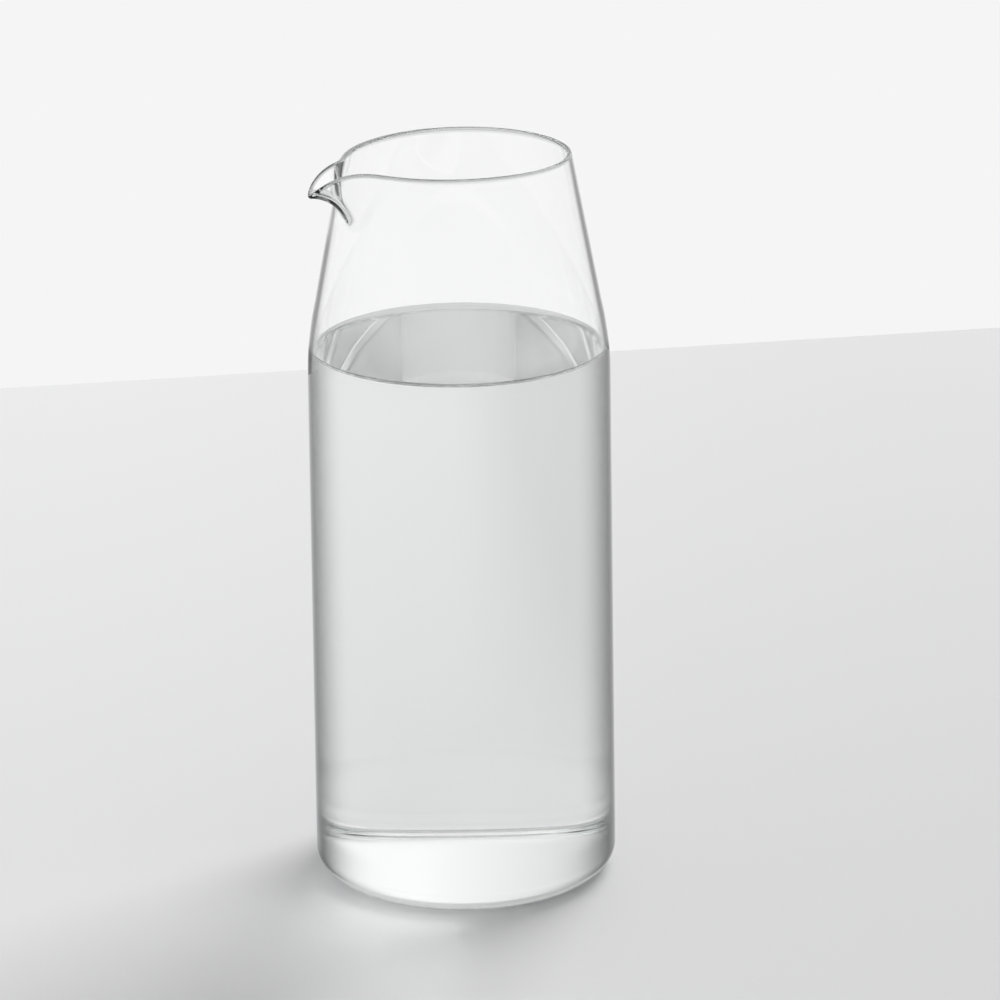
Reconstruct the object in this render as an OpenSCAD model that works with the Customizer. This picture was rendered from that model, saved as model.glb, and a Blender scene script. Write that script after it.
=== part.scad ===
// A one-litre glass pitcher with a tapered neck and a pulled spout, filled to the shoulder with water.
// Lengths are millimetres and angles are degrees. The origin is the middle of the base, +Z points up,
// and the spout points along -X.

/* [Body] */
// Outer diameter at the shoulder, where the neck begins
body_d = 90; // [72:1:110]
// How much wider the side is at the base than at the shoulder, in diameter
base_flare = 2; // [0:0.5:6]
// Height of the shoulder's corner above the base
shoulder_h = 166; // [120:1:200]
// Outside rounding radius of the shoulder
shoulder_r = 90; // [30:1:120]
// Outside rounding radius between the side and the base
base_r = 7; // [4:0.5:10]
// Thickness of the glass wall
wall = 1.6; // [1.2:0.1:3]
// Thickness of the glass floor
floor_t = 1.6; // [1.2:0.1:4]
// Inside rounding radius between the wall and the floor
floor_r = 6; // [3:0.5:9]

/* [Neck and spout] */
// Height of the neck, from the shoulder's corner to the top of the rim
neck_h = 57.5; // [48:0.5:80]
// Outer diameter of the neck at the rim
rim_d = 68; // [54:1:82]
// Length of wall that bends outwards at the root of the spout
root_len = 4; // [3:0.5:10]
// Angle that the wall turns through at the root, in the middle of the spout
root_bend = 36; // [15:0.5:45]
// Angle round the neck in which the root's bend falls to a third
root_fade = 6; // [5:0.1:12]
// Angle round the neck over which the bottom of the root is rounded
root_round = 3; // [1:0.5:6]
// Length of wall between the root and the rim that bends outwards to form the lip
lip_len = 14; // [10:0.5:24]
// Angle that the wall turns through along the lip, in the middle of the spout
lip_bend = 57.5; // [25:0.5:65]
// Angle round the neck in which the lip's bend falls to a third
lip_fade = 8.8; // [6:0.1:14]
// Angle round the neck over which the bottom of the lip is rounded
lip_round = 3; // [1:0.5:6]
// Share by which the lip is drawn out longer in the middle of the spout
lip_stretch = 0.14; // [0:0.01:0.3]
// How far the rim is drawn in on both sides of the spout
rim_draw = 2.2; // [0:0.1:4]

/* [Water] */
// Height of the flat water surface above the shoulder's corner
water_over = -1.5; // [-100:0.5:20]
// How far the water climbs up the glass, also the radius of its edge
meniscus = 1.4; // [0.5:0.1:3]
// Thickness of the water's edge where it ends on the glass
water_edge = 0.2; // [0.1:0.05:0.5]
// Gap between the water and the glass
water_gap = 0.05; // [0.02:0.01:0.2]

/* [Hidden] */
$fn = 128;

glass_colour = [0.86, 0.90, 0.89, 0.40];
water_colour = [0.78, 0.85, 0.85, 0.60];

// Heights and leans that follow from the sizes above
total_h = shoulder_h + neck_h;
water_level = shoulder_h + water_over;
side_lean = atan(base_flare / 2 / shoulder_h);
neck_lean = atan((body_d - rim_d) / 2 / neck_h);
spout_len = root_len + lip_len;

// Steps along the rounded corners of the outline
corner_steps = 12;
shoulder_steps = 6;
meniscus_steps = 8;

// Directions round the neck, closest together at the spout, where 0 is the middle of the spout
fine_zone = 30;
fine_step = 2;
coarse_step = 6;
directions = concat(
    [for (a = [-180 : coarse_step : -fine_zone]) a],
    [for (a = [fine_step - fine_zone : fine_step : fine_zone - fine_step]) a],
    [for (a = [fine_zone : coarse_step : 180 - coarse_step]) a]);

// Steps along the bent wall and over its rounded edge
bend_steps = 11;
edge_steps = 4;

// The wall far from the spout is nearly straight, and this keeps the length of its chord defined
least_bend = 0.01;

// The bent wall is sunk a little way into the top of the turned body, just inside its two faces
seat_depth = 1;
seat_inset = 0.08;
cut_past = 5;

// The wall's middle line: its height at the plain rim, and its height where the bend starts
rim_mid_z = total_h - wall / 2;
bend_z = rim_mid_z - spout_len * cos(neck_lean);

// Outer radius of the straight side and of the straight neck at a height
function side_x(z) = (body_d + base_flare * (1 - z / shoulder_h)) / 2;
function neck_x(z) = (body_d + (rim_d - body_d) * (z - shoulder_h) / neck_h) / 2;

// Centre of the arc that rounds the shoulder, which touches both straight lines
side_out = [cos(side_lean), sin(side_lean)];
neck_out = [cos(neck_lean), sin(neck_lean)];
shoulder_mid = [body_d / 2, shoulder_h] - shoulder_r * (side_out + neck_out) / (1 + side_out * neck_out);

// Points on an arc from one angle to another
function arc(mid, r, from, to, steps) =
    [for (i = [0 : steps]) let (a = from + (to - from) * i / steps) mid + r * [cos(a), sin(a)]];

// Half outline at a depth below the outer face, closed along the axis at the bottom and at the top
function outline(depth, bottom_z, corner_r, top_z) = let (corner_z = bottom_z + corner_r) concat(
    [[0, bottom_z]],
    arc([side_x(corner_z) - (depth + corner_r) / cos(side_lean), corner_z], corner_r, -90, side_lean,
        corner_steps),
    arc(shoulder_mid, shoulder_r - depth, side_lean, neck_lean, shoulder_steps),
    [[neck_x(top_z) - depth / cos(neck_lean), top_z], [0, top_z]]);

// Radius at a height of the face that lies at a depth below the outer face
function face_x(z, depth) = let (
    r = shoulder_r - depth,
    a = asin(max(-1, min(1, (z - shoulder_mid.y) / r))))
    a < side_lean ? side_x(z) - depth / cos(side_lean)
    : a > neck_lean ? neck_x(z) - depth / cos(neck_lean)
    : shoulder_mid.x + r * cos(a);

// Share of a shape in a direction: full at the spout and fading round the neck
function share(direction, soft, fade) = exp((soft - sqrt(direction * direction + soft * soft)) / fade);
function root_turn(direction) = max(least_bend, root_bend * share(direction, root_round, root_fade));
function lip_turn(direction) = max(least_bend, lip_bend * share(direction, lip_round, lip_fade));
function lip_drawn(direction) = 1 + lip_stretch * share(direction, lip_round, lip_fade);

// Share of rim_draw in a direction: none at the spout and opposite it, most about 70 degrees away
function draw_share(direction) = 27 / 32 * pow(sin(direction), 2) * (1 + cos(direction));

// Distance gone along the root and along the lip at a share t of the spout's length
function root_gone(t) = min(root_len, t * spout_len);
function lip_gone(t) = max(0, t * spout_len - root_len);

// Lean of the wall after the root, and after the lip
function root_lean(direction, t) = root_turn(direction) * root_gone(t) / root_len - neck_lean;
function lip_lean(direction, t) = root_lean(direction, t) + lip_turn(direction) * lip_gone(t) / lip_len;

// Step along an arc of a length that starts and ends at a lean, as radius and height
function arc_step(length, from, to) = let (
    half = (to - from) / 2,
    chord = half > 0 ? length * sin(half) / (half * PI / 180) : length,
    mid = (from + to) / 2)
    chord * [sin(mid), cos(mid)];

// Middle line of the wall at a share t of the spout's length, as radius and height
function mid_line(direction, t) =
    [neck_x(bend_z) - wall / 2 / cos(neck_lean) - rim_draw * draw_share(direction) * t * t, bend_z]
    + arc_step(root_gone(t), -neck_lean, root_lean(direction, t))
    + arc_step(lip_gone(t) * lip_drawn(direction), root_lean(direction, t), lip_lean(direction, t));

// Direction in which the middle line runs, and the outward direction square to it
function along(direction, t) = let (
    lean = lip_lean(direction, t),
    v = [sin(lean) - 2 * rim_draw * draw_share(direction) * t / spout_len, cos(lean)])
    v / norm(v);
function outward(direction, t) = let (v = along(direction, t)) [v.y, -v.x];

// Closed section of the bent wall in a direction: up the outer face, over the edge, down the inner face
function section(direction) = let (
    seat = -seat_depth * along(direction, 0),
    seat_half = wall / 2 - seat_inset,
    foot = mid_line(direction, 0),
    foot_out = outward(direction, 0),
    tip = mid_line(direction, 1),
    tip_out = outward(direction, 1),
    tip_along = along(direction, 1))
    concat(
        [foot + seat + seat_half * foot_out, foot + seat_half * foot_out],
        [for (i = [1 : bend_steps]) let (t = i / bend_steps)
            mid_line(direction, t) + wall / 2 * outward(direction, t)],
        [for (i = [1 : edge_steps - 1]) let (a = 180 * i / edge_steps)
            tip + wall / 2 * (cos(a) * tip_out + sin(a) * tip_along)],
        [for (i = [bend_steps : -1 : 1]) let (t = i / bend_steps)
            mid_line(direction, t) - wall / 2 * outward(direction, t)],
        [foot - seat_half * foot_out, foot + seat - seat_half * foot_out]);

// Turned part of the glass, from the base to where the spout's bend starts
module turned_body() {
    rotate_extrude()
        difference() {
            polygon(outline(0, 0, base_r, bend_z));
            polygon(outline(wall, floor_t, floor_r, bend_z + cut_past));
        }
}

// Top of the neck with the spout and the rounded rim, as one ring of wall sections
module bent_wall() {
    sections = [for (a = directions) section(a)];
    columns = len(sections);
    rows = len(sections[0]);
    points = [for (c = [0 : columns - 1]) let (a = 180 + directions[c])
        for (p = sections[c]) [p.x * cos(a), p.x * sin(a), p.y]];
    faces = [for (c = [0 : columns - 1]) let (d = (c + 1) % columns)
        for (r = [0 : rows - 1]) let (s = (r + 1) % rows)
        let (low = c * rows + r, high = c * rows + s, next_high = d * rows + s, next_low = d * rows + r)
        for (face = [[low, high, next_high], [low, next_high, next_low]]) face];
    polyhedron(points, faces);
}

// The pitcher itself, one piece of glass
module glass_body() {
    color(glass_colour)
        union() {
            turned_body();
            bent_wall();
        }
}

// Space above the water, down to its flat surface and its edge that climbs the glass
module air_outline() {
    edge_z = water_level + meniscus;
    edge_x = face_x(edge_z, wall + water_gap) - water_edge;
    polygon(concat(
        [[0, total_h + cut_past], [0, water_level]],
        arc([edge_x - meniscus, edge_z], meniscus, -90, 0, meniscus_steps),
        [[body_d, edge_z], [body_d, total_h + cut_past]]));
}

// The water inside
module water() {
    color(water_colour)
        rotate_extrude()
            difference() {
                polygon(outline(wall + water_gap, floor_t + water_gap, floor_r - water_gap, total_h));
                air_outline();
            }
}

glass_body();
water();
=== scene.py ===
import logging
import math
from dataclasses import dataclass, field
from enum import Enum
from typing import Any

import bmesh
import bpy
from mathutils import Matrix, Vector


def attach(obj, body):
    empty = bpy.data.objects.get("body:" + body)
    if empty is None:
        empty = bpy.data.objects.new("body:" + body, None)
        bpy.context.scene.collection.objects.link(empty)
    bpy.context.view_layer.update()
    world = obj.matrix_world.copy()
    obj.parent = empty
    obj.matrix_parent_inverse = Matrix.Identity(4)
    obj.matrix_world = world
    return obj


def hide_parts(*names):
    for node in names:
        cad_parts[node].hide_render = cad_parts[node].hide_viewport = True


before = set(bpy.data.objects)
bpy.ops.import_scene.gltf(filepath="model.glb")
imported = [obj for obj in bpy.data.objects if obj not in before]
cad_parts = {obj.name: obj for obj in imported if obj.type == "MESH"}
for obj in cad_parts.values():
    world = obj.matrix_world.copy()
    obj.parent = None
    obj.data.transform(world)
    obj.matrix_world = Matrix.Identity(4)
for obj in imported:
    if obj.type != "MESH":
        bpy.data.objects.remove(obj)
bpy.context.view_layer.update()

LOG = logging.getLogger("pitcher")
MM = 0.001
DOWN = -math.pi / 2

# Numbers of the Mix node's colour sockets, whose names its other sockets share
MIX_FIRST, MIX_SECOND, MIX_RESULT = 6, 7, 2

# Middle value of a Noise node
NOISE_MIDDLE = 0.5

Colour = tuple[float, float, float]
Direction = tuple[float, float, float]
Point = tuple[float, float]
Span = tuple[float, float]
Socket = bpy.types.NodeSocket
Node = bpy.types.Node
Material = bpy.types.Material
Paint = Socket | tuple[float, ...]
Coats = tuple[Material, Material]
Inputs = dict[str, int | float | Material]


def grey(level: float) -> Colour:
    """A grey of a brightness."""
    return level, level, level


def on_arc(mid: Point, radius: float, angle: float) -> Point:
    """Point of a half section on an arc, at an angle from level in radians."""
    return mid[0] + radius * math.cos(angle), mid[1] + radius * math.sin(angle)


# Node trees

class Value:
    """A socket of a node tree that can be used in Python sums."""

    def __init__(self, nodes: "Nodes", socket: Socket) -> None:
        """Keeps an output socket and the builder of its tree, which adds the Math nodes."""
        self.nodes = nodes
        self.socket = socket

    def __add__(self, other: "Number") -> "Value":
        """Sum of the two."""
        return self.nodes.math("ADD", self, other)

    def __radd__(self, other: "Number") -> "Value":
        """Sum of the two."""
        return self.nodes.math("ADD", other, self)

    def __sub__(self, other: "Number") -> "Value":
        """This value less the other."""
        return self.nodes.math("SUBTRACT", self, other)

    def __rsub__(self, other: "Number") -> "Value":
        """The other value less this one."""
        return self.nodes.math("SUBTRACT", other, self)

    def __mul__(self, other: "Number") -> "Value":
        """Product of the two."""
        return self.nodes.math("MULTIPLY", self, other)

    def __rmul__(self, other: "Number") -> "Value":
        """Product of the two."""
        return self.nodes.math("MULTIPLY", other, self)

    def __truediv__(self, other: "Number") -> "Value":
        """This value over the other."""
        return self.nodes.math("DIVIDE", self, other)

    def __rtruediv__(self, other: "Number") -> "Value":
        """The other value over this one."""
        return self.nodes.math("DIVIDE", other, self)

    def __pow__(self, other: "Number") -> "Value":
        """This value to the power of the other."""
        return self.nodes.math("POWER", self, other)

    def __rpow__(self, other: "Number") -> "Value":
        """The other value to the power of this one."""
        return self.nodes.math("POWER", other, self)

    def __mod__(self, other: "Number") -> "Value":
        """What is left of this value after whole times the other."""
        return self.nodes.math("MODULO", self, other)

    def __rmod__(self, other: "Number") -> "Value":
        """What is left of the other value after whole times this one."""
        return self.nodes.math("MODULO", other, self)


Number = Value | float | int


class Ease(Enum):
    """How a value goes from 0 to 1, by the name of the Map Range node's interpolation."""

    EVEN = "LINEAR"
    SOFT = "SMOOTHSTEP"


class Nodes:
    """Adds nodes and links to one node tree."""

    def __init__(self, tree: bpy.types.NodeTree) -> None:
        """Keeps the tree of a material, of the world or of a Geometry Nodes modifier."""
        self.tree = tree

    def add(self, kind: str, settings: dict[str, Any] | None = None,
            sockets: dict[str | int, Any] | None = None) -> Node:
        """Adds a node.

        Args:
            kind: the node's type.
            settings: the node's own settings, which are set first.
            sockets: values or links of its input sockets, by name or number.

        Returns:
            The new node.
        """
        node = self.tree.nodes.new(kind)
        for name, value in (settings or {}).items():
            setattr(node, name, value)
        for name, value in (sockets or {}).items():
            self.feed(node.inputs[name], value)
        return node

    def feed(self, socket: Socket, value: Any) -> None:
        """Links a socket to a value of the tree, or sets it.

        Args:
            socket: an input socket.
            value: a Value, an output socket or a plain value.
        """
        if isinstance(value, Value):
            self.tree.links.new(value.socket, socket)
        elif isinstance(value, Socket):
            self.tree.links.new(value, socket)
        else:
            socket.default_value = value

    def out(self, node: Node, name: str | int = 0) -> Value:
        """An output of a node as a value for sums."""
        return Value(self, node.outputs[name])

    def math(self, operation: str, *values: Number) -> Value:
        """Result of a Math node with an operation and its inputs in order."""
        return self.out(self.add("ShaderNodeMath", {"operation": operation}, dict(enumerate(values))))

    def held(self, value: Number, high: Number) -> Value:
        """The value, held between 0 and a limit."""
        return self.math("MAXIMUM", 0.0, self.math("MINIMUM", high, value))

    def between(self, value: Number, low: float, high: float, ease: Ease = Ease.SOFT) -> Value:
        """Step of a value.

        Args:
            value: what is measured.
            low: where the step starts, at 0.
            high: where the step ends, at 1.
            ease: how it goes from one to the other.

        Returns:
            The step from 0 to 1.
        """
        node = self.add("ShaderNodeMapRange", {"interpolation_type": ease.value},
                        {"Value": value, "From Min": low, "From Max": high})
        return self.out(node)

    def band(self, value: Number, rise: Span, fall: Span) -> Value:
        """A band of a value, with a soft rise to 1 and a soft fall back to 0."""
        return self.between(value, *rise) * (1 - self.between(value, *fall))

    def part(self, vector: Socket, axis: int) -> Value:
        """One of a vector's three parts, by the number of its axis."""
        return self.out(self.add("ShaderNodeSeparateXYZ", {}, {0: vector}), axis)

    def dot(self, first: Socket, second: Any) -> Value:
        """Dot product of two vectors."""
        node = self.add("ShaderNodeVectorMath", {"operation": "DOT_PRODUCT"}, {0: first, 1: second})
        return self.out(node, "Value")

    def noise(self, place: Socket, scale: float, detail: float) -> Value:
        """Smooth noise from 0 to 1 at a place."""
        sockets = {"Vector": place, "Scale": scale, "Detail": detail}
        return self.out(self.add("ShaderNodeTexNoise", {}, sockets))

    def ray(self, name: str) -> Value:
        """What is known of the ray that meets the face, by its name on the Light Path node."""
        return self.out(self.add("ShaderNodeLightPath"), name)

    def straight(self) -> Value:
        """1 for rays that have met no matt face on their way from the camera, and 0 for others."""
        return self.math("LESS_THAN", self.ray("Diffuse Depth"), 1.0)

    def mix(self, factor: Number, first: Any, second: Any) -> Socket:
        """Mixes two colours.

        Args:
            factor: share of the second colour.
            first: a colour or a link to one.
            second: a colour or a link to one.

        Returns:
            The mixed colour's socket.
        """
        node = self.add("ShaderNodeMix", {"data_type": "RGBA"}, {0: factor})
        for number, colour in ((MIX_FIRST, first), (MIX_SECOND, second)):
            self.feed(node.inputs[number], (*colour, 1.0) if isinstance(colour, tuple) else colour)
        return node.outputs[MIX_RESULT]


# Camera

@dataclass(frozen=True)
class Viewpoint:
    """The camera, as fitted to the photograph: millimetres, radians and pixels of the picture."""

    distance: float = 1300.0
    height: float = 546.3
    focal_px: float = 4556.7
    image_px: float = 1000.0
    axis_px: float = 461.09
    pitch: float = 0.3195
    roll: float = 0.0149
    turn: float = math.radians(32.2)
    sensor: float = 36.0
    nearest: float = 10.0

    @property
    def right(self) -> Direction:
        """The level direction to the right of the image."""
        return math.cos(self.turn), -math.sin(self.turn), 0.0

    @property
    def ahead(self) -> Direction:
        """The level direction away from the camera."""
        return math.sin(self.turn), math.cos(self.turn), 0.0

    def build(self) -> None:
        """Makes the camera and sets it as the scene's own."""
        level = Vector(self.ahead)
        right = Vector(self.right)
        up = Vector((0, 0, 1))
        ahead = level * math.cos(self.pitch) - up * math.sin(self.pitch)
        above = level * math.sin(self.pitch) + up * math.cos(self.pitch)
        yaw = math.atan((self.image_px / 2 - self.axis_px) / self.focal_px)
        ahead, right = (ahead * math.cos(yaw) + right * math.sin(yaw),
                        right * math.cos(yaw) - ahead * math.sin(yaw))
        above, right = (above * math.cos(self.roll) + right * math.sin(self.roll),
                        right * math.cos(self.roll) - above * math.sin(self.roll))
        lens = bpy.data.cameras.new("camera")
        lens.sensor_width = self.sensor
        lens.lens = self.focal_px * self.sensor / self.image_px
        lens.clip_start = self.nearest * MM
        camera = bpy.data.objects.new("camera", lens)
        turn = Matrix((right, above, -ahead)).transposed().to_4x4()
        place = (up * self.height - level * self.distance) * MM
        camera.matrix_world = Matrix.Translation(place) @ turn
        bpy.context.scene.collection.objects.link(camera)
        bpy.context.scene.camera = camera


# Finishes

class Face(Enum):
    """What kind of face a row of a half section belongs to, by the name of its attribute."""

    OUTER = "outer"
    RIM = "rim"
    INNER = "inner"
    WET = "wet"


class Medium(Enum):
    """What fills the space on one side of a clear face, with its refractive index."""

    AIR = 1.0
    WATER = 1.333
    GLASS = 1.47


class FaceNodes(Nodes):
    """Adds nodes to the tree of a clear material, and knows the place on the piece."""

    def __init__(self, tree: bpy.types.NodeTree) -> None:
        """Starts the tree with the place on the piece and its height.

        Args:
            tree: the material's tree.
        """
        super().__init__(tree)
        self.place = self.add("ShaderNodeTexCoord").outputs["Object"]
        self.height = self.part(self.place, 2)

    def share(self, face: Face) -> Value:
        """Share of a kind of face at the place."""
        return self.out(self.add("ShaderNodeAttribute", {"attribute_name": face.value}), "Fac")

    def behind(self) -> Value:
        """1 where the face is seen from within, and 0 where it is seen from without."""
        return self.out(self.add("ShaderNodeNewGeometry"), "Backfacing")


@dataclass(frozen=True)
class Step:
    """A soft step at a level, over a distance to both sides of it, in millimetres."""

    level: float
    soft: float

    def of(self, nodes: Nodes, value: Value) -> Value:
        """0 where a value of the tree is below the step, and 1 where it is above."""
        return nodes.between(value, (self.level - self.soft) * MM, (self.level + self.soft) * MM)


@dataclass(frozen=True)
class EdgeShade:
    """Painted shade: how a clear face is painted darker where it is seen edge-on."""

    colour: Colour
    start: float
    end: float

    def over(self, nodes: Nodes, facing: Value, plain: Colour) -> Socket:
        """Mixes the painted edge shade over a plain colour, as facing goes from 0, square-on, to 1,
        edge-on.
        """
        return nodes.mix(nodes.between(facing, self.start, self.end), plain, self.colour)


def new_material(name: str) -> tuple[Material, Node]:
    """Makes a material.

    Args:
        name: the material's name.

    Returns:
        The material and its Principled shader.
    """
    material = bpy.data.materials.new(name)
    material.use_nodes = True
    return material, material.node_tree.nodes["Principled BSDF"]


@dataclass(frozen=True)
class ClearFinish:
    """A clear material with a faint tint and faint waves, whose sizes are in millimetres."""

    name: str
    within: Medium
    beyond: Medium
    tint: Colour = grey(1.0)
    wave_size: float = 16.0
    wave_height: float = 0.004
    wave_detail: float = 1.0

    def build(self) -> Material:
        """Makes the material.

        Returns:
            A material whose Principled shader lets light through.
        """
        material, shader = new_material(self.name)
        nodes = FaceNodes(material.node_tree)
        nodes.feed(shader.inputs["Base Color"], self.colour(nodes))
        nodes.feed(shader.inputs["Roughness"], self.haze(nodes))
        if self.wave_height > 0:
            waves = nodes.noise(nodes.place, 1.0 / (self.wave_size * MM), self.wave_detail)
            bump = nodes.add("ShaderNodeBump", {}, {
                "Strength": 1.0, "Distance": self.wave_height * MM, "Height": waves})
            nodes.feed(shader.inputs["Normal"], bump.outputs[0])
        shader.inputs["IOR"].default_value = self.within.value / self.beyond.value
        shader.inputs["Transmission Weight"].default_value = 1.0
        return material

    def colour(self, nodes: FaceNodes) -> Paint:
        """The colour of the light that is let through, the tint all over."""
        return (*self.tint, 1.0)

    def haze(self, nodes: FaceNodes) -> Number:
        """How rough the face is, smooth all over."""
        return 0.0


@dataclass(frozen=True, kw_only=True)
class EdgeShadedSurfaceFinish(ClearFinish):
    """A clear surface whose raised edge is painted grey, and painted darker where it is seen from within:
    painted shade.
    """

    raised: Step
    # Painted shade: greys of the raised edge seen from without, and of the edge seen from within
    rim: Colour = grey(0.68)
    line: Colour = grey(0.45)

    def colour(self, nodes: FaceNodes) -> Paint:
        """The colour of the light that is let through, with the painted shade of the raised edge.

        Args:
            nodes: the material's tree.

        Returns:
            A link to the colour.
        """
        outside = nodes.mix(self.raised.of(nodes, nodes.height), self.tint, self.rim)
        inside = nodes.mix(nodes.share(Face.RIM), self.tint, self.line)
        return nodes.mix(nodes.behind(), outside, inside)


@dataclass(frozen=True, kw_only=True)
class FloorShadeLineFinish(ClearFinish):
    """A clear material with a painted darker line, painted shade, where the floor starts to turn up into
    the wall.
    """

    start: Step
    end: Step
    # Painted shade: the grey of the line
    line: Colour = grey(0.45)

    def colour(self, nodes: FaceNodes) -> Paint:
        """The colour of the light that is let through, painted darker between the two heights as painted
        shade.
        """
        ring = self.start.of(nodes, nodes.height) * (1 - self.end.of(nodes, nodes.height))
        return nodes.mix(ring, self.tint, self.line)


@dataclass(frozen=True, kw_only=True)
class EdgeShadedFinish(ClearFinish):
    """A clear material whose outer face is painted darker where it is seen edge-on, in zones of height:
    painted shade.
    """

    # Painted shade on edges against water, on the far side, against air, in the base, and in its lowest
    # part, where it stands for the shadow under the base
    full: EdgeShade = EdgeShade(grey(0.005), 0.40, 0.82)
    leaving: EdgeShade = EdgeShade(grey(0.58), 0.15, 0.27)
    empty: EdgeShade = EdgeShade(grey(0.35), 0.65, 0.80)
    base: EdgeShade = EdgeShade(grey(0.005), 0.22, 0.75)
    foot: EdgeShade = EdgeShade(grey(0.42), 0.0, 0.35)
    edge_blend: float = 0.5
    # Painted shade: the rim is painted grey
    rim: Colour = (0.68, 0.685, 0.685)

    # Heights at which the zones end, and the start and the back of the spout, which stays clear
    foot_end: Step = Step(4.5, 0.3)
    base_end: Step = Step(16.0, 3.0)
    water_end: Step
    spout_start: Step = Step(201.0, 5.0)
    spout_back: Step = Step(-24.0, 5.0)

    # A slight cloudy haze round the corner of the base
    corner_start: Step = Step(0.5, 0.3)
    corner_end: Step = Step(6.5, 1.0)
    corner_haze: float = 0.10
    cloud_scale: float = 90.0
    cloud_detail: float = 3.0
    cloud_least: float = 0.5

    def colour(self, nodes: FaceNodes) -> Paint:
        """The colour of the light that is let through, with a painted grey rim and painted dark edges,
        both painted shade.

        Args:
            nodes: the material's tree.

        Returns:
            A link to the colour.
        """
        facing = nodes.out(nodes.add("ShaderNodeLayerWeight", {}, {"Blend": self.edge_blend}), "Facing")
        # Painted shade of each zone, mixed over the tint as the face turns edge-on
        full, leaving, empty, base, foot = (
            edge.over(nodes, facing, self.tint)
            for edge in (self.full, self.leaving, self.empty, self.base, self.foot))
        low = nodes.mix(self.foot_end.of(nodes, nodes.height), foot, base)
        entering = nodes.mix(self.base_end.of(nodes, nodes.height), low, full)
        below = nodes.mix(nodes.behind(), entering, leaving)
        before_back = 1 - self.spout_back.of(nodes, nodes.part(nodes.place, 0))
        spout = self.spout_start.of(nodes, nodes.height) * before_back
        neck = nodes.mix(spout, empty, self.tint)
        side = nodes.mix(self.water_end.of(nodes, nodes.height), below, neck)
        outer = nodes.mix(nodes.share(Face.OUTER) * nodes.straight(), self.tint, side)
        return nodes.mix(nodes.share(Face.RIM), outer, self.rim)

    def haze(self, nodes: FaceNodes) -> Number:
        """How rough the face is, with clouds of haze round the corner of the base.

        Args:
            nodes: the material's tree.

        Returns:
            The roughness.
        """
        corner = self.corner_start.of(nodes, nodes.height) * (1 - self.corner_end.of(nodes, nodes.height))
        cloud = self.cloud_least + nodes.noise(nodes.place, self.cloud_scale, self.cloud_detail)
        return nodes.share(Face.OUTER) * corner * cloud * self.corner_haze


@dataclass(frozen=True)
class TableFinish:
    """A pale matt table top with a fine grain, painted darker from left to right as painted shade, and
    painted with other greys, also painted shade, where it is seen through the glass.
    """

    name: str = "pale_table_top"
    # Painted shade: the top is painted from light on the left to dark on the right
    light: Colour = (0.88, 0.88, 0.885)
    dark: Colour = (0.735, 0.735, 0.74)
    painted_shade_across: Step = Step(0.0, 250.0)
    # Painted shade: the greys that the glass shows of the top, darker on the left
    left_behind: Colour = (0.70, 0.70, 0.704)
    right_behind: Colour = (0.79, 0.79, 0.794)
    painted_shade_behind: Step = Step(-37.5, 52.5)
    grain: float = 0.012
    grain_scale: float = 420.0
    grain_detail: float = 4.0
    roughness: float = 0.45
    specular: float = 0.5

    def build(self) -> Material:
        """Makes the material.

        Returns:
            A matt material.
        """
        material, shader = new_material(self.name)
        nodes = Nodes(material.node_tree)
        place = nodes.add("ShaderNodeTexCoord").outputs["Object"]
        grain = nodes.noise(place, self.grain_scale, self.grain_detail) - NOISE_MIDDLE
        across = nodes.dot(place, Viewpoint().right) + grain * self.grain
        # Painted shade across the top, and other painted shade for rays through the glass
        seen = nodes.mix(self.painted_shade_across.of(nodes, across), self.light, self.dark)
        behind = nodes.mix(self.painted_shade_behind.of(nodes, across), self.left_behind, self.right_behind)
        nodes.feed(shader.inputs["Base Color"], nodes.mix(nodes.ray("Is Transmission Ray"), seen, behind))
        shader.inputs["Roughness"].default_value = self.roughness
        shader.inputs["Specular IOR Level"].default_value = self.specular
        return material


# Half sections

@dataclass
class Outline:
    """Rows of a half section in millimetres, from the axis to the axis, each with its kind of face."""

    rows: list[tuple[float, float, Face]] = field(default_factory=list)
    same_place: float = 1e-6

    def to(self, point: Point, face: Face, steps: int = 1) -> None:
        """Goes on in a straight line.

        Args:
            point: radius and height of the line's end.
            face: kind of face along it.
            steps: number of rows on the way.
        """
        if not self.rows:
            self.rows.append((*point, face))
            return
        r, z, _ = self.rows[-1]
        for i in range(1, steps + 1):
            t = i / steps
            self.rows.append((r + (point[0] - r) * t, z + (point[1] - z) * t, face))

    def round(self, mid: Point, radius: float, start: float, end: float, face: Face, steps: int) -> None:
        """Goes on along an arc.

        Args:
            mid: radius and height of the arc's centre.
            radius: the arc's radius.
            start: angle of the arc's start, in radians.
            end: angle of the arc's end, in radians.
            face: kind of face along it.
            steps: number of rows on the way.
        """
        for i in range(steps + 1):
            point = on_arc(mid, radius, start + (end - start) * i / steps)
            if self.rows and math.dist(point, self.rows[-1][:2]) < self.same_place:
                # A row that two stretches share keeps the kind of the first, unless the second is wet
                self.rows[-1] = (*point, face if face is Face.WET else self.rows[-1][2])
            else:
                self.rows.append((*point, face))

    def mesh(self, name: str) -> bpy.types.Mesh:
        """Makes the rows a chain of edges in metres, with one attribute for each kind of face.

        Args:
            name: the mesh's name.

        Returns:
            The chain.
        """
        mesh = bpy.data.meshes.new(name)
        points = [(r * MM, 0.0, z * MM) for r, z, _ in self.rows]
        mesh.from_pydata(points, [(i, i + 1) for i in range(len(points) - 1)], [])
        for face in Face:
            share = mesh.attributes.new(face.value, "FLOAT", "POINT")
            share.data.foreach_set("value", [float(row[2] is face) for row in self.rows])
        return mesh


@dataclass(frozen=True)
class RowCounts:
    """Numbers of rows along the stretches of a half section."""

    floor: int = 4
    corner: int = 24
    side: int = 12
    shoulder: int = 14
    dry_shoulder: int = 2
    neck: int = 8
    bend: int = 34
    band: int = 3
    bead: int = 18
    water_edge: int = 6
    meniscus: int = 16
    surface: int = 8


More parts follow.
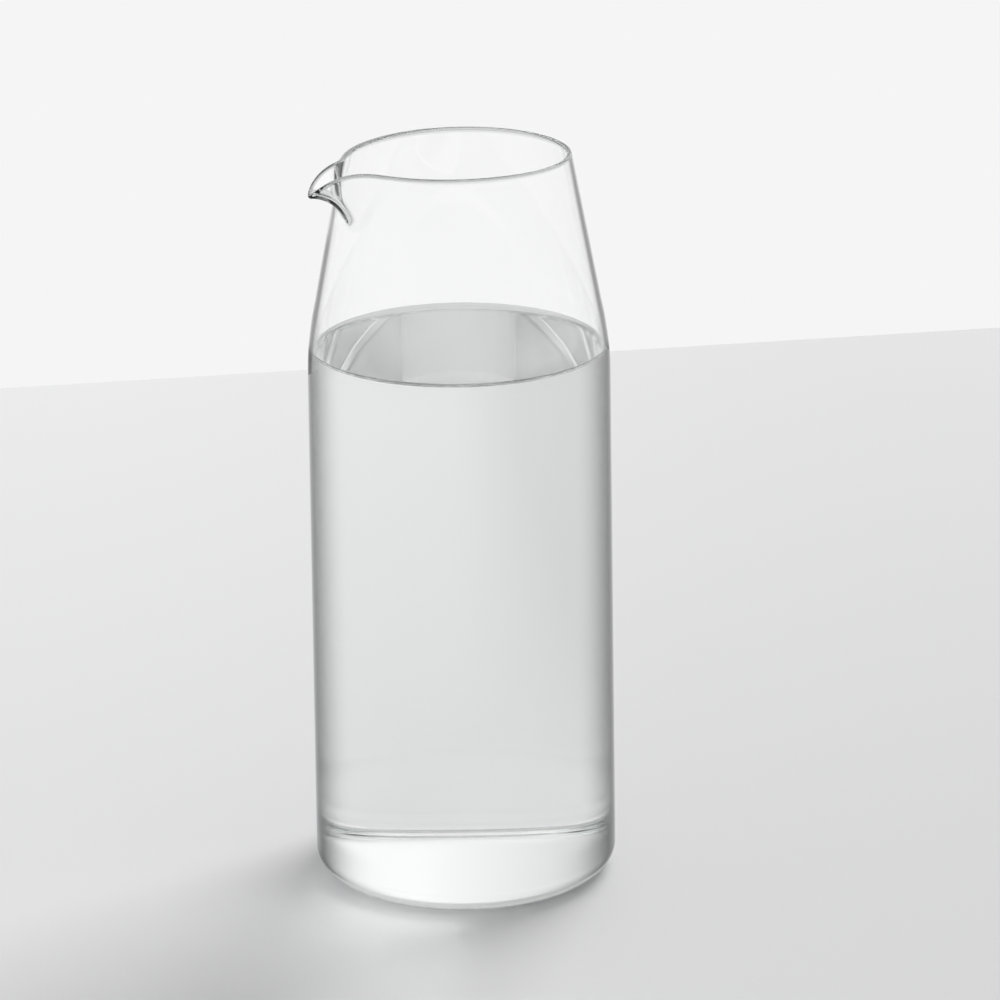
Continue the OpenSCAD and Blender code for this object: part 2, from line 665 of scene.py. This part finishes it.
@dataclass(frozen=True)
class PitcherSizes:
    """Sizes of the pitcher in millimetres and degrees, the same as the solid model's."""

    body_d: float = 90.0
    base_flare: float = 2.0
    shoulder_h: float = 166.0
    shoulder_r: float = 90.0
    base_r: float = 7.0
    wall: float = 1.6
    floor_t: float = 1.6
    floor_r: float = 6.0
    neck_h: float = 57.5
    rim_d: float = 68.0
    root_len: float = 4.0
    root_bend: float = 36.0
    root_fade: float = 6.0
    root_round: float = 3.0
    lip_len: float = 14.0
    lip_bend: float = 57.5
    lip_fade: float = 8.8
    lip_round: float = 3.0
    lip_stretch: float = 0.14
    rim_draw: float = 2.2
    rim_band: float = 0.3
    water_over: float = -1.5
    meniscus: float = 1.4
    water_edge: float = 0.2
    water_gap: float = 0.05

    @property
    def spout_len(self) -> float:
        """Length of wall below the rim that bends outwards to form the spout."""
        return self.root_len + self.lip_len

    @property
    def side_lean(self) -> float:
        """Lean of the side, in radians."""
        return math.atan(self.base_flare / 2 / self.shoulder_h)

    @property
    def neck_lean(self) -> float:
        """Lean of the neck, in radians."""
        return math.atan((self.body_d - self.rim_d) / 2 / self.neck_h)

    @property
    def water_level(self) -> float:
        """Height of the flat water surface."""
        return self.shoulder_h + self.water_over

    @property
    def contact_z(self) -> float:
        """Height at which the water ends on the glass."""
        return self.water_level + self.meniscus

    @property
    def foot(self) -> Point:
        """Radius and height on the wall's middle line at which the spout's bend starts."""
        z = self.shoulder_h + self.neck_h - self.wall / 2 - self.spout_len * math.cos(self.neck_lean)
        return self.neck_at(z) - self.wall / 2 / math.cos(self.neck_lean), z

    @property
    def shoulder_mid(self) -> Point:
        """Centre of the arc that rounds the shoulder.

        Returns:
            Its radius and height.
        """
        a, b = self.side_lean, self.neck_lean
        out = (math.cos(a) + math.cos(b), math.sin(a) + math.sin(b))
        share = self.shoulder_r / (1 + math.cos(b - a))
        return self.body_d / 2 - share * out[0], self.shoulder_h - share * out[1]

    def side_at(self, z: float) -> float:
        """Outer radius of the straight side at a height."""
        return (self.body_d + self.base_flare * (1 - z / self.shoulder_h)) / 2

    def neck_at(self, z: float) -> float:
        """Outer radius of the straight neck at a height."""
        return (self.body_d + (self.rim_d - self.body_d) * (z - self.shoulder_h) / self.neck_h) / 2

    def corner(self, depth: float, bottom_z: float, radius: float) -> Point:
        """Centre of a rounding above a bottom, for a side at a depth below the outer face."""
        z = bottom_z + radius
        return self.side_at(z) - (depth + radius) / math.cos(self.side_lean), z

    def contact_angle(self, depth: float) -> float:
        """Angle on the shoulder's arc at which the water ends, for a face at a depth, in radians."""
        return math.asin((self.contact_z - self.shoulder_mid[1]) / (self.shoulder_r - depth))

    def wall_point(self, along: float, out: float) -> Point:
        """Point of the straight neck, along it from the spout's start and out from its middle line."""
        c, s = math.cos(self.neck_lean), math.sin(self.neck_lean)
        return self.foot[0] - along * s + out * c, self.foot[1] + along * c + out * s


# Pieces

# Settings of Geometry Nodes that handle one number for each point
POINT_NUMBER = {"data_type": "FLOAT", "domain": "POINT"}

# Kinds of a tree's inputs, by the type of their values
INPUT_KINDS = {int: "NodeSocketInt", float: "NodeSocketFloat", Material: "NodeSocketMaterial"}

# Brings the most of sin(a)^2 (1 + cos(a)), the course of the drawn-in rim, to 1
DRAW_SCALE = 27 / 32

# The wall far from the spout is nearly straight, and this half angle keeps its chord defined
LEAST_HALF = 1e-4

# Share of wet above which a face takes the wet material, so that all its points are wet
ALL_WET = 0.75


@dataclass
class TurnedPiece:
    """A piece that is turned round the axis by Geometry Nodes, with its wall bent into a spout."""

    name: str
    node: str
    slot: str
    sizes: PitcherSizes = PitcherSizes()
    rows: RowCounts = RowCounts()
    columns: int = 320
    even_share: float = 0.35
    merge: float = 0.002

    def outline(self) -> Outline:
        """The half section to turn."""
        raise NotImplementedError

    def materials(self) -> Coats:
        """The dry and the wet material."""
        raise NotImplementedError

    def build(self) -> bpy.types.Object:
        """Makes the piece, hangs it on the root body and hides the part that it takes the place of.

        Returns:
            The piece, a plain mesh with its place in it.
        """
        piece = bpy.data.objects.new(self.name, self.outline().mesh(self.name + "_outline"))
        bpy.context.scene.collection.objects.link(piece)
        values = self.tree_values()
        tree = self.turning_tree(values)
        modifier = piece.modifiers.new("turning", "NODES")
        modifier.node_group = tree
        for item in tree.interface.items_tree:
            if item.in_out == "INPUT" and item.name in values:
                modifier[item.identifier] = values[item.name]
        self.make_plain(piece)
        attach(piece, "root")
        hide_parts(self.node)
        return piece

    def make_plain(self, piece: bpy.types.Object) -> None:
        """Turns the modifier's result into the piece's own closed mesh.

        Args:
            piece: the object with the modifier.
        """
        graph = bpy.context.evaluated_depsgraph_get()
        mesh = bpy.data.meshes.new_from_object(piece.evaluated_get(graph), depsgraph=graph)
        piece.modifiers.clear()
        chain = piece.data
        piece.data = mesh
        bpy.data.meshes.remove(chain)
        mesh.name = self.name
        shape = bmesh.new()
        shape.from_mesh(mesh)
        bmesh.ops.recalc_face_normals(shape, faces=shape.faces)
        if shape.calc_volume(signed=True) < 0:
            bmesh.ops.reverse_faces(shape, faces=shape.faces)
        shape.to_mesh(mesh)
        shape.free()

    def tree_values(self) -> Inputs:
        """Lists what the tree is given.

        Returns:
            Values by the inputs' names, with lengths in metres.
        """
        s = self.sizes
        foot_r, foot_z = s.foot
        dry, wet = self.materials()
        return {
            "Columns": self.columns, "Even share": self.even_share, "Merge": self.merge * MM,
            "Foot radius": foot_r * MM, "Foot height": foot_z * MM, "Neck lean": s.neck_lean,
            "Root length": s.root_len * MM, "Root bend": s.root_bend, "Root fade": s.root_fade,
            "Root round": s.root_round, "Root stretch": 0.0,
            "Lip length": s.lip_len * MM, "Lip bend": s.lip_bend, "Lip fade": s.lip_fade,
            "Lip round": s.lip_round, "Lip stretch": s.lip_stretch,
            "Rim draw": s.rim_draw * MM, "Dry": dry, "Wet": wet,
        }

    def turning_tree(self, values: Inputs) -> bpy.types.NodeTree:
        """Makes the tree that turns the outline round the axis and bends the wall into a spout.

        Args:
            values: values of its inputs by name, for their kinds.

        Returns:
            The tree, with its sizes as named inputs.
        """
        tree = bpy.data.node_groups.new(self.name + "_turning", "GeometryNodeTree")
        tree.is_modifier = True
        tree.interface.new_socket(name="Outline", in_out="INPUT", socket_type="NodeSocketGeometry")
        for name, value in values.items():
            tree.interface.new_socket(name=name, in_out="INPUT", socket_type=INPUT_KINDS[type(value)])
        tree.interface.new_socket(name="Piece", in_out="OUTPUT", socket_type="NodeSocketGeometry")
        nodes = Nodes(tree)
        given = nodes.add("NodeGroupInput").outputs
        size = {name: Value(nodes, given[name]) for name in values}
        count = nodes.add("GeometryNodeAttributeDomainSize", {"component": "MESH"},
                          {"Geometry": given["Outline"]})
        rows = nodes.out(count, "Point Count")
        index = nodes.out(nodes.add("GeometryNodeInputIndex"))
        place, shares = self.outline_row(nodes, given["Outline"], index % rows)
        column = nodes.math("FLOOR", index / rows) / size["Columns"] * 2 - 1
        even = size["Even share"]
        direction = 180 * (even * column + (1 - even) * column ** 3)
        radius, height = self.bent_wall(nodes, size, place, direction)
        turn = math.pi + nodes.math("RADIANS", direction)
        point = nodes.add("ShaderNodeCombineXYZ", {}, {
            0: radius * nodes.math("COSINE", turn), 1: radius * nodes.math("SINE", turn), 2: height})
        step = nodes.add("GeometryNodeMeshGrid", {}, {
            "Vertices X": size["Columns"] + 1, "Vertices Y": rows})
        for face, share in shares.items():
            step = nodes.add("GeometryNodeStoreNamedAttribute", POINT_NUMBER, {
                "Geometry": step.outputs[0], "Name": face.value, "Value": share})
        all_wet = nodes.add("FunctionNodeCompare", {"data_type": "FLOAT", "operation": "GREATER_THAN"},
                            {0: self.stored_share(nodes, Face.WET), 1: ALL_WET})
        for kind, sockets in (
                ("GeometryNodeSetPosition", {"Position": point.outputs[0]}),
                ("GeometryNodeMergeByDistance", {"Distance": size["Merge"]}),
                ("GeometryNodeSetShadeSmooth", {}),
                ("GeometryNodeRealizeInstances", {}),
                ("GeometryNodeSetMaterial", {"Material": given["Dry"]}),
                ("GeometryNodeSetMaterial", {"Selection": all_wet.outputs[0], "Material": given["Wet"]})):
            step = nodes.add(kind, {}, {"Geometry": step.outputs[0], **sockets})
        nodes.add("NodeGroupOutput", {}, {0: step.outputs[0]})
        return tree

    def stored_share(self, nodes: Nodes, face: Face) -> Socket:
        """The stored share of a kind of face."""
        settings = {"data_type": "FLOAT"}
        return nodes.add("GeometryNodeInputNamedAttribute", settings, {"Name": face.value}).outputs[0]

    def outline_row(self, nodes: Nodes, outline: Socket, row: Value) -> tuple[Socket, dict[Face, Socket]]:
        """Reads one row of the outline.

        Args:
            nodes: the tree's builder.
            outline: the outline's geometry.
            row: number of the row.

        Returns:
            The row's place, and its share of each kind of face.
        """
        position = nodes.add("GeometryNodeInputPosition").outputs[0]
        place = nodes.add("GeometryNodeSampleIndex", {"data_type": "FLOAT_VECTOR", "domain": "POINT"},
                          {"Geometry": outline, "Value": position, "Index": row})
        shares = {}
        for face in Face:
            sample = nodes.add("GeometryNodeSampleIndex", POINT_NUMBER, {
                "Geometry": outline, "Value": self.stored_share(nodes, face), "Index": row})
            shares[face] = sample.outputs[0]
        return place.outputs[0], shares

    def bent_wall(self, nodes: Nodes, size: dict[str, Value], place: Socket,
                  direction: Value) -> tuple[Value, Value]:
        """Bends the top of the wall outwards at the spout, and draws the rim in beside it.

        Args:
            nodes: the tree's builder.
            size: the tree's inputs by name.
            place: the outline's point.
            direction: angle round the axis from the middle of the spout, in degrees.

        Returns:
            Radius and height of the point on the bent wall.
        """
        r, z = nodes.part(place, 0), nodes.part(place, 2)
        lean = size["Neck lean"]
        lean_c, lean_s = nodes.math("COSINE", lean), nodes.math("SINE", lean)
        dr, dz = r - size["Foot radius"], z - size["Foot height"]
        along = dz * lean_c - dr * lean_s
        out = dr * lean_c + dz * lean_s
        root = self.arc(nodes, size, "Root", direction, along, 0 - lean)
        lip = self.arc(nodes, size, "Lip", direction, along - size["Root length"], root[2])
        length = size["Root length"] + size["Lip length"]
        t = nodes.held(along / length, 1.0)
        turn = nodes.math("RADIANS", direction)
        turn_s = nodes.math("SINE", turn)
        draw = size["Rim draw"] * DRAW_SCALE * turn_s * turn_s * (1 + nodes.math("COSINE", turn))
        mid_r = size["Foot radius"] + root[0] + lip[0] - draw * t * t
        mid_z = size["Foot height"] + root[1] + lip[1]
        run_r = nodes.math("SINE", lip[2]) - 2 * draw * t / length
        run_z = nodes.math("COSINE", lip[2])
        norm = nodes.math("SQRT", run_r * run_r + run_z * run_z)
        past = nodes.math("MAXIMUM", 0.0, along - length)
        bent_r = mid_r + (out * run_z + past * run_r) / norm
        bent_z = mid_z + (past * run_z - out * run_r) / norm
        bends = nodes.math("GREATER_THAN", along, 0.0)
        return r + bends * (bent_r - r), z + bends * (bent_z - z)

    def arc(self, nodes: Nodes, size: dict[str, Value], part: str, direction: Value, along: Value,
            lean: Value) -> tuple[Value, Value, Value]:
        """Bends one stretch of the wall into an arc, most in the middle of the spout.

        Args:
            nodes: the tree's builder.
            size: the tree's inputs by name.
            part: first word of the names of the stretch's own inputs.
            direction: angle round the axis from the middle of the spout, in degrees.
            along: distance up the wall from the stretch's start.
            lean: lean of the wall at the stretch's start.

        Returns:
            How far out and up the arc leads, and the lean of the wall at its end.
        """
        length, soft = size[part + " length"], size[part + " round"]
        gone = nodes.held(along, length)
        reach = nodes.math("SQRT", direction * direction + soft * soft)
        most = nodes.math("EXPONENT", (soft - reach) / size[part + " fade"])
        bend = nodes.math("RADIANS", size[part + " bend"] * most)
        half = nodes.math("MAXIMUM", LEAST_HALF, bend * gone / length * 0.5)
        chord = gone * (1 + size[part + " stretch"] * most) * nodes.math("SINE", half) / half
        middle = lean + half
        return chord * nodes.math("SINE", middle), chord * nodes.math("COSINE", middle), lean + half * 2


@dataclass
class GlassBody(TurnedPiece):
    """The pitcher itself, one piece of clear glass, with a painted dark line of shade a little above its
    floor.
    """

    name: str = "clear_pitcher"
    node: str = "glass_body"
    slot: str = "clear_glass"
    tint: Colour = (0.998, 1.0, 0.999)
    # Heights of the painted shade line above the floor
    shade_line_start: float = 0.15
    shade_line_end: float = 0.7

    def outline(self) -> Outline:
        """Draws the half section from the middle of the base, over the rim, to the middle of the floor.

        Returns:
            The half section.
        """
        s, rows = self.sizes, self.rows
        half = s.wall / 2
        band = s.spout_len - s.rim_band
        outer_corner = s.corner(0, 0, s.base_r)
        inner_corner = s.corner(s.wall, s.floor_t, s.floor_r)
        inner_r = s.shoulder_r - s.wall
        contact = s.contact_angle(s.wall)
        tip = s.wall_point(s.spout_len, 0)
        line = Outline()
        line.to((0, 0), Face.OUTER)
        line.to((outer_corner[0], 0), Face.OUTER, rows.floor)
        line.round(outer_corner, s.base_r, DOWN, s.side_lean, Face.OUTER, rows.corner)
        line.to(on_arc(s.shoulder_mid, s.shoulder_r, s.side_lean), Face.OUTER, rows.side)
        line.round(s.shoulder_mid, s.shoulder_r, s.side_lean, s.neck_lean, Face.OUTER, rows.shoulder)
        line.to(s.wall_point(0, half), Face.OUTER, rows.neck)
        line.to(s.wall_point(band, half), Face.OUTER, rows.bend)
        line.to(s.wall_point(s.spout_len, half), Face.RIM, rows.band)
        line.round(tip, half, s.neck_lean, s.neck_lean + math.pi, Face.RIM, rows.bead)
        line.to(s.wall_point(band, -half), Face.RIM, rows.band)
        line.to(s.wall_point(0, -half), Face.INNER, rows.bend)
        line.to(on_arc(s.shoulder_mid, inner_r, s.neck_lean), Face.INNER, rows.neck)
        line.round(s.shoulder_mid, inner_r, s.neck_lean, contact, Face.INNER, rows.dry_shoulder)
        line.round(s.shoulder_mid, inner_r, contact, s.side_lean, Face.WET, rows.shoulder)
        line.to(on_arc(inner_corner, s.floor_r, s.side_lean), Face.WET, rows.side)
        line.round(inner_corner, s.floor_r, s.side_lean, DOWN, Face.WET, rows.corner)
        line.to((0, s.floor_t), Face.WET, rows.floor)
        return line

    def materials(self) -> Coats:
        """Makes clear glass against air, and clear glass against water.

        Returns:
            The dry and the wet material.
        """
        dry = EdgeShadedFinish("clear_glass_dry", Medium.GLASS, Medium.AIR, self.tint,
                          water_end=Step(self.sizes.contact_z, soft=1.0))
        wet = FloorShadeLineFinish("clear_glass_wet", Medium.GLASS, Medium.WATER,
                          start=Step(self.sizes.floor_t + self.shade_line_start, soft=0.05),
                          end=Step(self.sizes.floor_t + self.shade_line_end, soft=0.1))
        return dry.build(), wet.build()


@dataclass
class Water(TurnedPiece):
    """The water in the pitcher, with the edge that climbs the glass and is painted grey as it rises,
    painted shade.
    """

    name: str = "still_water"
    node: str = "water"
    slot: str = "water"
    tint: Colour = (0.992, 1.0, 0.996)
    edge_turn: float = DOWN / 4
    # Painted shade: height above the surface at which the edge is painted grey
    shade_rise: float = 0.12

    def outline(self) -> Outline:
        """Draws the half section from the middle of the floor to the middle of the surface.

        Returns:
            The half section.
        """
        s, rows = self.sizes, self.rows
        depth = s.wall + s.water_gap
        floor_z = s.floor_t + s.water_gap
        corner_r = s.floor_r - s.water_gap
        corner = s.corner(depth, floor_z, corner_r)
        side_r = s.shoulder_r - depth
        contact = s.contact_angle(depth)
        edge_r = on_arc(s.shoulder_mid, side_r, contact)[0] - s.water_edge
        edge_mid = (edge_r - s.meniscus, s.contact_z)
        line = Outline()
        line.to((0, floor_z), Face.WET)
        line.to((corner[0], floor_z), Face.WET, rows.floor)
        line.round(corner, corner_r, DOWN, s.side_lean, Face.WET, rows.corner)
        line.to(on_arc(s.shoulder_mid, side_r, s.side_lean), Face.WET, rows.side)
        line.round(s.shoulder_mid, side_r, s.side_lean, contact, Face.WET, rows.shoulder)
        line.to((edge_r, s.contact_z), Face.RIM)
        line.round(edge_mid, s.meniscus, 0, self.edge_turn, Face.RIM, rows.water_edge)
        line.round(edge_mid, s.meniscus, self.edge_turn, DOWN, Face.OUTER, rows.meniscus)
        line.to((0, s.water_level), Face.OUTER, rows.surface)
        return line

    def materials(self) -> Coats:
        """Makes water against air, and water against glass, whose own face bends the light.

        Returns:
            The dry and the wet material.
        """
        dry = EdgeShadedSurfaceFinish("water_surface", Medium.WATER, Medium.AIR, wave_size=30.0,
                            raised=Step(self.sizes.water_level + self.shade_rise, soft=0.1))
        wet = ClearFinish("water_side", Medium.WATER, Medium.WATER, self.tint, wave_height=0.0)
        return dry.build(), wet.build()


# Stage

@dataclass
class Stage:
    """The table in millimetres, the surroundings, the lamp in metres and the camera."""

    view: Viewpoint = Viewpoint()

    # Two points of the table's back edge, to the right and ahead of the axis as the camera sees it
    edge_left: Point = (-190.3, 508.8)
    edge_right: Point = (232.4, 577.5)
    edge_reach: float = 1500.0
    front_reach: float = 2200.0
    top_z: float = -0.25

    # What the camera sees behind, and the light from all round
    backdrop: Colour = grey(0.913)
    fill: Colour = (0.43, 0.43, 0.432)

    # What the glass shows of the room: pale walls, and a band a little above level that is dim on the left
    pale: Colour = grey(0.955)
    dim: Colour = grey(0.35)
    bright: Colour = grey(1.0)
    band_across: Span = (-1.0, 0.14)
    band_ahead: Span = (-0.1, 0.25)
    band_bottom: Span = (0.12, 0.24)
    band_top: Span = (0.36, 0.55)

    # A grey flank below level on both sides of the backdrop, and a grey ceiling
    flank: Colour = grey(0.42)
    flank_start: Span = (0.80, 0.88)
    flank_end: Span = (0.925, 0.955)
    flank_top: Span = (-0.16, -0.09)
    overhead: Colour = grey(0.80)
    overhead_start: Span = (0.68, 0.95)

    # The lamp, with its direction in degrees from straight ahead and above level
    key_side: float = 33.4
    key_height: float = 42.0
    key_aim: float = 0.08
    key_distance: float = 4.0
    key_size: float = 2.2
    key_power: float = 118.0

    # The lamp as the table sees it through the glass
    key_gain: float = 0.66
    key_spread: float = 1.4
    key_soft: float = 0.12

    def build(self) -> None:
        """Makes the table, the surroundings, the lamp and the camera."""
        self.table()
        self.world()
        self.lamp()
        self.view.build()

    def table(self) -> None:
        """Makes the table top, with its back edge where the photograph has it."""
        across, ahead = Vector(self.view.right), Vector(self.view.ahead)
        left = across * self.edge_left[0] + ahead * self.edge_left[1]
        right = across * self.edge_right[0] + ahead * self.edge_right[1]
        run = (right - left).normalized()
        front = Vector((run.y, -run.x, 0)).normalized()
        mid = (left + right) / 2
        corners = [mid - run * self.edge_reach, mid + run * self.edge_reach]
        corners += [corners[1] + front * self.front_reach, corners[0] + front * self.front_reach]
        shape = bmesh.new()
        ring = [shape.verts.new((c + Vector((0, 0, self.top_z))) * MM) for c in corners]
        top = shape.faces.new(ring)
        top.normal_update()
        if top.normal.z < 0:
            top.normal_flip()
        mesh = bpy.data.meshes.new("table_top")
        shape.to_mesh(mesh)
        shape.free()
        mesh.materials.append(TableFinish().build())
        table = bpy.data.objects.new("table_top", mesh)
        bpy.context.scene.collection.objects.link(table)

    def world(self) -> None:
        """Makes a plain backdrop, a room that only the glass shows, and light from all round."""
        world = bpy.data.worlds.new("pale_room")
        bpy.context.scene.world = world
        world.use_nodes = True
        nodes = Nodes(world.node_tree)
        ground = world.node_tree.nodes["Background"]
        heading = nodes.add("ShaderNodeTexCoord").outputs["Generated"]
        through = nodes.ray("Is Transmission Ray")
        shown = nodes.math("MAXIMUM", nodes.ray("Is Glossy Ray"), through)
        light = nodes.mix(self.glow(nodes, heading) * through, self.fill, grey(self.key_radiance))
        lit = nodes.mix(shown * nodes.straight(), light, self.room(nodes, heading))
        nodes.feed(ground.inputs["Color"], nodes.mix(nodes.ray("Is Camera Ray"), lit, self.backdrop))
        ground.inputs["Strength"].default_value = 1.0

    def room(self, nodes: Nodes, heading: Socket) -> Socket:
        """Colours the room that the glass shows.

        Args:
            nodes: the world's tree.
            heading: the direction that is looked in.

        Returns:
            A link to the colour.
        """
        up = nodes.part(heading, 2)
        across = nodes.dot(heading, self.view.right)
        ahead = nodes.dot(heading, self.view.ahead)
        band = nodes.mix(nodes.between(across, *self.band_across, Ease.EVEN), self.dim, self.bright)
        level = nodes.band(up, self.band_bottom, self.band_top) * nodes.between(ahead, *self.band_ahead)
        walls = nodes.mix(level, self.pale, band)
        below = 1 - nodes.between(up, *self.flank_top)
        walls = nodes.mix(nodes.band(ahead, self.flank_start, self.flank_end) * below, walls, self.flank)
        return nodes.mix(nodes.between(up, *self.overhead_start), walls, self.overhead)

    def glow(self, nodes: Nodes, heading: Socket) -> Value:
        """Shows the lamp as a soft round patch of the world.

        Args:
            nodes: the world's tree.
            heading: the direction that is looked in.

        Returns:
            1 in the patch and 0 outside it.
        """
        reach = self.key_reach * self.key_spread
        outside, inside = math.cos(reach * (1 + self.key_soft)), math.cos(reach * (1 - self.key_soft))
        return nodes.between(nodes.dot(heading, self.key_heading), outside, inside)

    @property
    def key_heading(self) -> Direction:
        """Direction of the lamp.

        Returns:
            The direction, of length 1.
        """
        turn = math.pi / 2 - self.view.turn - math.radians(self.key_side)
        rise = math.radians(self.key_height)
        return math.cos(turn) * math.cos(rise), math.sin(turn) * math.cos(rise), math.sin(rise)

    @property
    def key_reach(self) -> float:
        """Angle from the middle of the lamp to its edge, in radians."""
        return self.key_size / self.key_distance / math.sqrt(math.pi)

    @property
    def key_radiance(self) -> float:
        """Brightness of the lamp's face, as seen through the glass from the table."""
        return self.key_gain * self.key_power / (math.pi * self.key_size ** 2)

    def lamp(self) -> None:
        """Makes the large soft lamp behind the object, which the glass doesn't mirror."""
        lamp = bpy.data.lights.new("soft_key", "AREA")
        lamp.shape = "SQUARE"
        lamp.size = self.key_size
        lamp.energy = self.key_power
        holder = bpy.data.objects.new("soft_key", lamp)
        back = Vector(self.key_heading)
        place = Vector((0, 0, self.key_aim)) + back * self.key_distance
        turn = back.to_track_quat("Z", "Y").to_matrix().to_4x4()
        holder.matrix_world = Matrix.Translation(place) @ turn
        holder.visible_glossy = False
        holder.visible_transmission = False
        bpy.context.scene.collection.objects.link(holder)


@dataclass(frozen=True)
class LightPaths:
    """How far light is followed: through all the faces of the glass and the water."""

    clear_bounces: int = 96
    matt_bounces: int = 3
    glossy_blur: float = 0.3
    brightest: float = 40.0

    def use(self) -> None:
        """Sets the light paths, and shows brightness as it is."""
        scene = bpy.context.scene
        scene.view_settings.view_transform = "Standard"
        scene.cycles.max_bounces = self.clear_bounces
        scene.cycles.transmission_bounces = self.clear_bounces
        scene.cycles.glossy_bounces = self.clear_bounces
        scene.cycles.diffuse_bounces = self.matt_bounces
        scene.cycles.caustics_refractive = True
        scene.cycles.caustics_reflective = True
        scene.cycles.blur_glossy = self.glossy_blur
        scene.cycles.sample_clamp_indirect = self.brightest


def main() -> None:
    """Builds the pitcher, its water and the stage, and reports each piece."""
    logging.basicConfig(level=logging.INFO, format="%(name)s %(message)s")
    LightPaths().use()
    for piece in (GlassBody().build(), Water().build()):
        LOG.info("%s: %d faces", piece.name, len(piece.data.polygons))
    Stage().build()
    LOG.info("table_top: stage")


if __name__ == "__main__":
    main()
